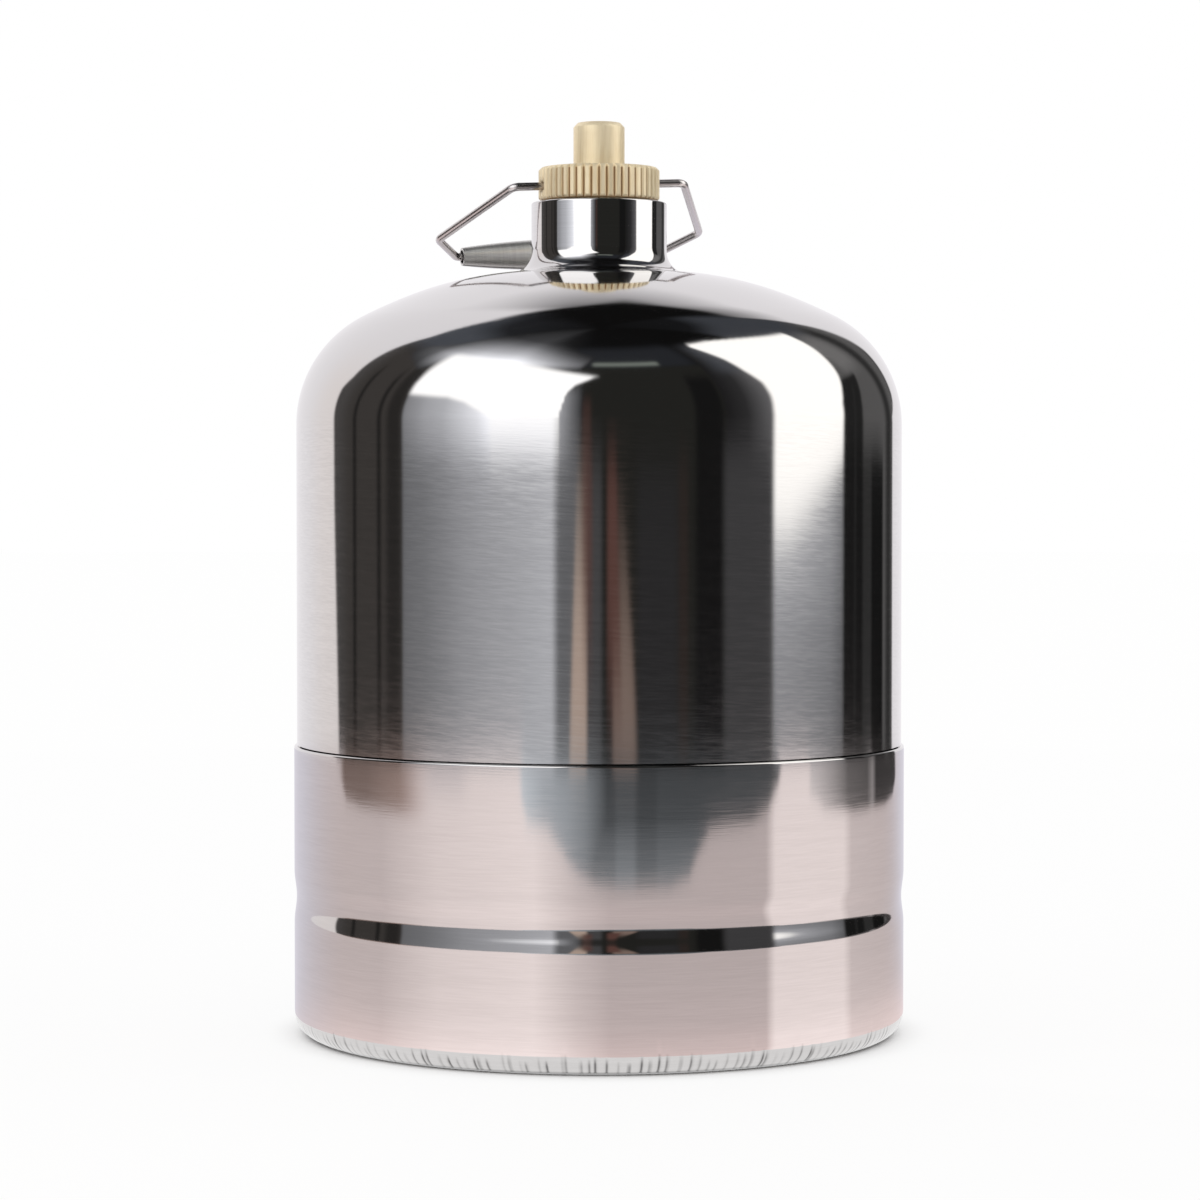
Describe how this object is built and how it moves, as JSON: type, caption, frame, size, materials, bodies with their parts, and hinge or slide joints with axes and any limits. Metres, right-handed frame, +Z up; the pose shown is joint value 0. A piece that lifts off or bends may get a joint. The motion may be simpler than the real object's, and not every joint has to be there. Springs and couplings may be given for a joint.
{
  "type": "refillable gas canister",
  "caption": "Refillable stainless gas canister with a domed top, threaded brass valve under a knurled dust cap, and a wire bail with a barrel grip.",
  "frame": {"origin": "centre of the flat ring that the canister stands on", "axes": "+Z up along the canister's axis, towards the valve; -Y towards the viewer of the reference view; +X to that viewer's right"},
  "size_m": [0.111, 0.111, 0.1653],
  "materials": {
    "shell_steel": "fine horizontal brushing on the straight wall, mirror polish on the dome",
    "cup_steel": "satin",
    "base_steel": "as pressed, dull",
    "collar_steel": "mirror polish",
    "brass": "turned",
    "cap_brass": "pale satin, turned and straight knurled",
    "rubber": "matte black",
    "spring_steel": "drawn wire",
    "wire_steel": "bright drawn wire",
    "grip_steel": "rolled sheet, grey"
  },
  "bodies": {
    "canister": {"upper_shell": "shell_steel", "lower_cup": "cup_steel", "base_dish": "base_steel", "neck_collar": "collar_steel", "valve_body": "brass", "body_gasket": "rubber", "spring_retainer": "brass", "valve_spring": "spring_steel"},
    "pin": {"valve_pin": "brass", "stem_seal": "rubber"},
    "cap_seal": {"cap_washer": "rubber"},
    "cap": {"dust_cap": "cap_brass"},
    "bail": {"bail_wire": "wire_steel"},
    "grip": {"bail_grip": "grip_steel"}
  },
  "joints": [
    {"name": "cap_lift", "type": "slide", "parent": "canister", "child": "cap_seal", "axis": [0, 0, 1], "range_m": [0, 0.0039]},
    {"name": "cap_turn", "type": "hinge", "parent": "cap_seal", "child": "cap", "pos_m": [0, 0, 0.1541], "axis": [0, 0, 1], "range_deg": [0, 1530]},
    {"name": "bail_swing", "type": "hinge", "parent": "cap", "child": "bail", "pos_m": [0, 0, 0.1541], "axis": [0.9552, 0.292, 0.0471], "range_deg": [-6, 230]},
    {"name": "grip_spin", "type": "hinge", "parent": "bail", "child": "grip", "pos_m": [-0.00739, 0.0259, 0.14335], "axis": [0.9552, 0.292, 0.0471], "continuous": true},
    {"name": "valve_press", "type": "slide", "parent": "canister", "child": "pin", "axis": [0, 0, -1], "range_m": [0, 0.0018], "stiffness_N_per_m": 800, "springref_m": -0.001, "deforming": ["valve_spring"]}
  ],
  "couplings": [
    {"joint": "cap_lift", "follows": "cap_turn", "m_per_rad": 0.00014435}
  ]
}
